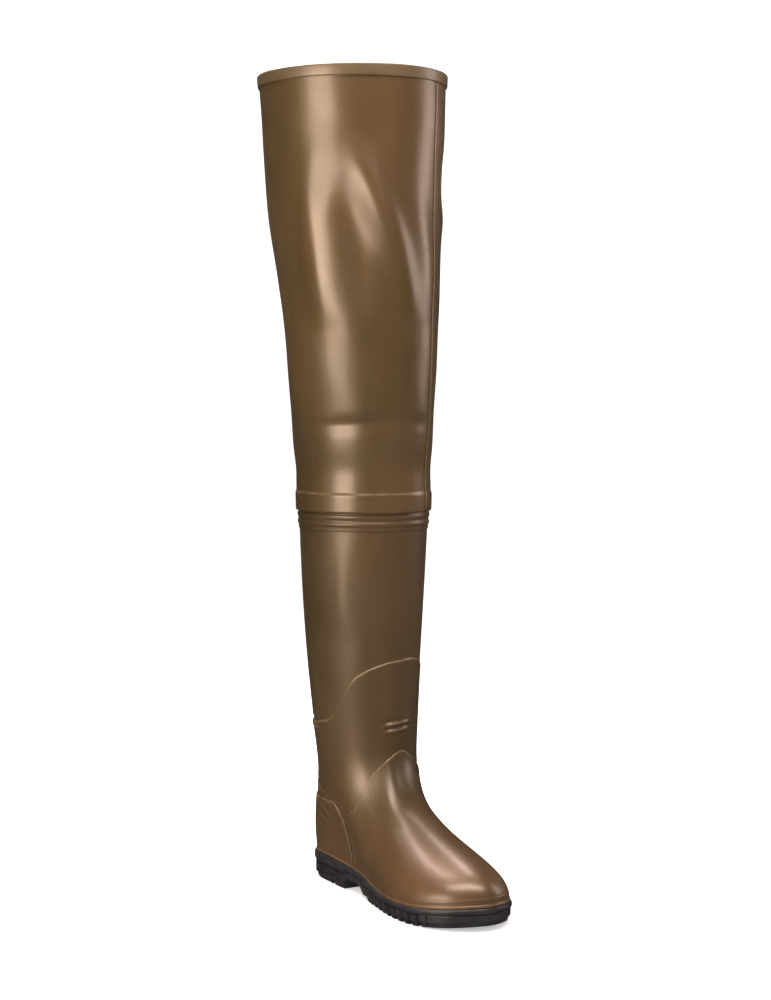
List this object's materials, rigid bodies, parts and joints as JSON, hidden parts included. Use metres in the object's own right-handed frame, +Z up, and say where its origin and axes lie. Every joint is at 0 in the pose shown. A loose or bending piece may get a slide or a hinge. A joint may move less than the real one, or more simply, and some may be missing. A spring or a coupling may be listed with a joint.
{
  "type": "hip wader",
  "caption": "Right hip wader: moulded rubber boot with a lugged sole and a tall thin thigh tube, ribbed band at the knee and a bound top edge.",
  "frame": {"origin": "middle of the heel's tread face, on the floor", "axes": "+X towards the toe, +Y towards the inner side of the leg, +Z up the leg"},
  "size_m": [0.3396, 0.1904, 0.8292],
  "materials": {
    "boot_rubber": "satin olive brown",
    "thigh_rubber": "satin olive brown, thin",
    "binding_rubber": "satin, lighter brown",
    "sole_rubber": "matt black",
    "insole_felt": "grey felt"
  },
  "bodies": {
    "root": {"upper": "boot_rubber", "foxing": "boot_rubber", "vamp_cover": "boot_rubber", "heel_counter": "boot_rubber", "knee_band": "boot_rubber", "thigh_shaft": "thigh_rubber", "thigh_seam": "thigh_rubber", "collar_binding": "binding_rubber", "outsole": "sole_rubber", "insole": "insole_felt"}
  },
  "joints": []
}
